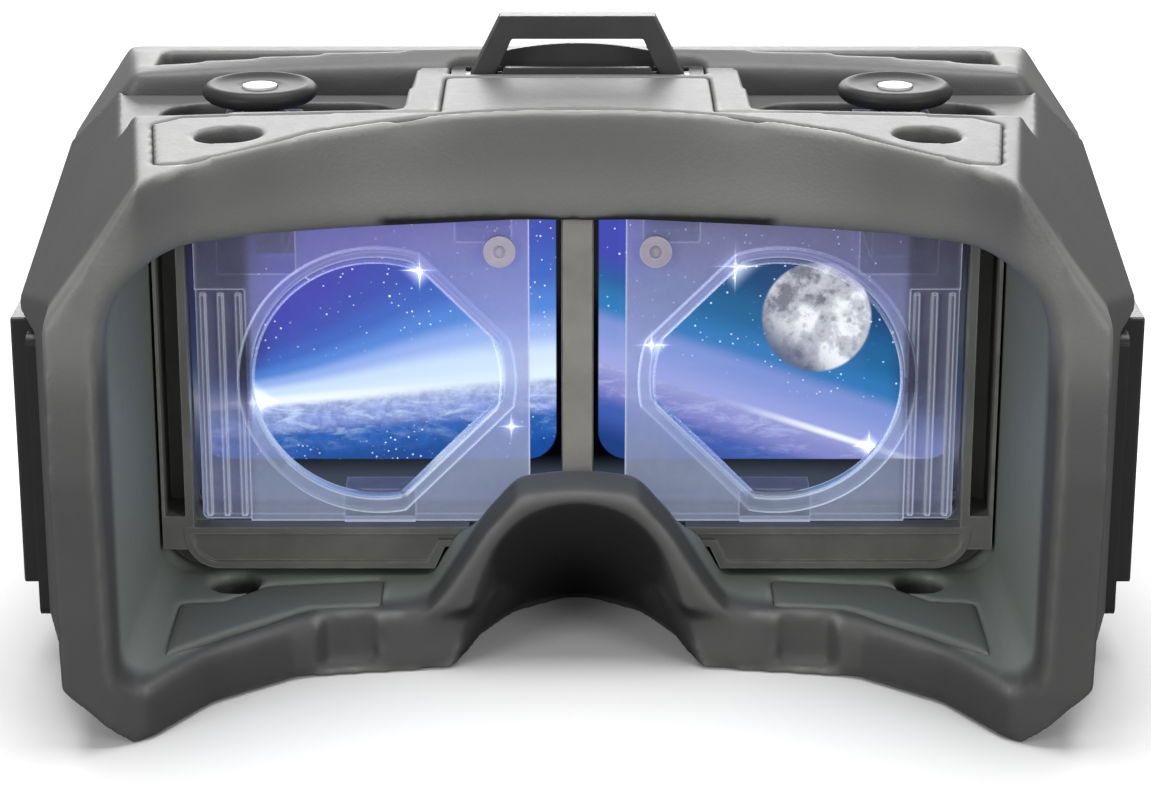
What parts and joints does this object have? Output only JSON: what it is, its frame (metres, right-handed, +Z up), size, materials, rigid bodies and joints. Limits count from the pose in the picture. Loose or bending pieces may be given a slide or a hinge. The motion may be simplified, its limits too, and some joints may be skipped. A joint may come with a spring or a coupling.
{
  "type": "phone viewing goggles",
  "caption": "Soft foam viewing goggles with a face opening, sliding lens carriers, press buttons, strap loops and a top slot for a phone",
  "frame": {"origin": "centre of the footprint, on the plane the goggles stand on", "axes": "+Z up, +Y forwards away from the face, +X to the wearer's right; symmetric about X = 0"},
  "size_m": [0.2, 0.122, 0.1102],
  "materials": {
    "foam": "soft moulded skin foam, fine grain, mid grey",
    "panel": "soft moulded skin foam, a shade lighter, let in flush",
    "chassis": "moulded grey-black plastic with a fine grain",
    "carrier": "clear moulded plastic, lightly frosted",
    "lens": "polished clear lens",
    "ring": "clear moulded plastic ring",
    "steel": "drawn steel, dulled",
    "screw": "bright plated pan-head screw",
    "knob": "black moulded plastic, satin on the rim",
    "cap": "bright polished cap",
    "touch": "conductive rubber",
    "strap_plastic": "dark grey moulded plastic, worn at the edges",
    "phone_case": "black phone body",
    "screen": "lit phone screen behind glass",
    "pad": "soft black sponge"
  },
  "bodies": {
    "shell": {"foam_body": "foam", "front_housing": "foam", "top_panel": "panel", "left_floor_panel": "panel", "right_floor_panel": "panel", "lens_chassis": "chassis", "centre_divider": "chassis", "guide_rod_upper": "steel", "guide_rod_lower": "steel", "strap_loop_pin": "steel", "left_side_strap_pin": "steel", "right_side_strap_pin": "steel", "strap_loop_base": "strap_plastic", "left_side_strap_plate": "strap_plastic", "right_side_strap_plate": "strap_plastic", "phone_pad_front": "pad", "phone_pad_foot": "pad"},
    "left_carriage": {"left_lens_carrier": "carrier", "left_lens": "lens", "left_lens_ring": "ring", "left_carrier_screw": "screw", "left_lever_pin": "steel"},
    "left_button": {"left_button_knob": "knob", "left_button_cap": "cap", "left_button_stem": "knob", "left_button_spring": "steel"},
    "left_lever": {"left_touch_lever": "knob", "left_touch_pad": "touch"},
    "left_side_strap": {"left_side_strap_bar": "strap_plastic"},
    "right_carriage": {"right_lens_carrier": "carrier", "right_lens": "lens", "right_lens_ring": "ring", "right_carrier_screw": "screw", "right_lever_pin": "steel"},
    "right_button": {"right_button_knob": "knob", "right_button_cap": "cap", "right_button_stem": "knob", "right_button_spring": "steel"},
    "right_lever": {"right_touch_lever": "knob", "right_touch_pad": "touch"},
    "right_side_strap": {"right_side_strap_bar": "strap_plastic"},
    "strap_loop_body": {"strap_loop": "strap_plastic"},
    "phone": {"phone_body": "phone_case", "phone_screen": "screen"},
    "cover": {"camera_cover": "foam"}
  },
  "joints": [
    {"name": "left_eye_slide", "type": "slide", "parent": "shell", "child": "left_carriage", "axis": [1, 0, 0], "range_m": [0, 0.0055]},
    {"name": "left_button_press", "type": "slide", "parent": "left_carriage", "child": "left_button", "axis": [0, 0, -1], "range_m": [0, 0.002], "stiffness_N_per_m": 300, "springref_m": -0.001, "deforming": ["left_button_spring"]},
    {"name": "left_touch_swing", "type": "hinge", "parent": "left_carriage", "child": "left_lever", "pos_m": [-0.058, 0.0275, 0.074], "axis": [1, 0, 0], "range_deg": [0, 10]},
    {"name": "left_side_strap_hinge", "type": "hinge", "parent": "shell", "child": "left_side_strap", "pos_m": [-0.09765, -0.0015, 0.041], "axis": [0, 0, -1], "range_deg": [0, 80]},
    {"name": "right_eye_slide", "type": "slide", "parent": "shell", "child": "right_carriage", "axis": [-1, 0, 0], "range_m": [0, 0.0055]},
    {"name": "right_button_press", "type": "slide", "parent": "right_carriage", "child": "right_button", "axis": [0, 0, -1], "range_m": [0, 0.002], "stiffness_N_per_m": 300, "springref_m": -0.001, "deforming": ["right_button_spring"]},
    {"name": "right_touch_swing", "type": "hinge", "parent": "right_carriage", "child": "right_lever", "pos_m": [0.058, 0.0275, 0.074], "axis": [1, 0, 0], "range_deg": [0, 10]},
    {"name": "right_side_strap_hinge", "type": "hinge", "parent": "shell", "child": "right_side_strap", "pos_m": [0.09765, -0.0015, 0.041], "axis": [0, 0, 1], "range_deg": [0, 80]},
    {"name": "strap_loop_hinge", "type": "hinge", "parent": "shell", "child": "strap_loop_body", "pos_m": [0, 0.0295, 0.098], "axis": [1, 0, 0], "range_deg": [-10, 34]},
    {"name": "phone_lift", "type": "slide", "parent": "shell", "child": "phone", "axis": [0, 0, 1], "range_m": [0, 0.095]},
    {"name": "camera_cover_pull", "type": "slide", "parent": "shell", "child": "cover", "axis": [0, 1, 0], "range_m": [0, 0.012]}
  ],
  "couplings": [
    {"joint": "left_touch_swing", "follows": "left_button_press", "rad_per_m": 84},
    {"joint": "right_touch_swing", "follows": "right_button_press", "rad_per_m": 84}
  ]
}
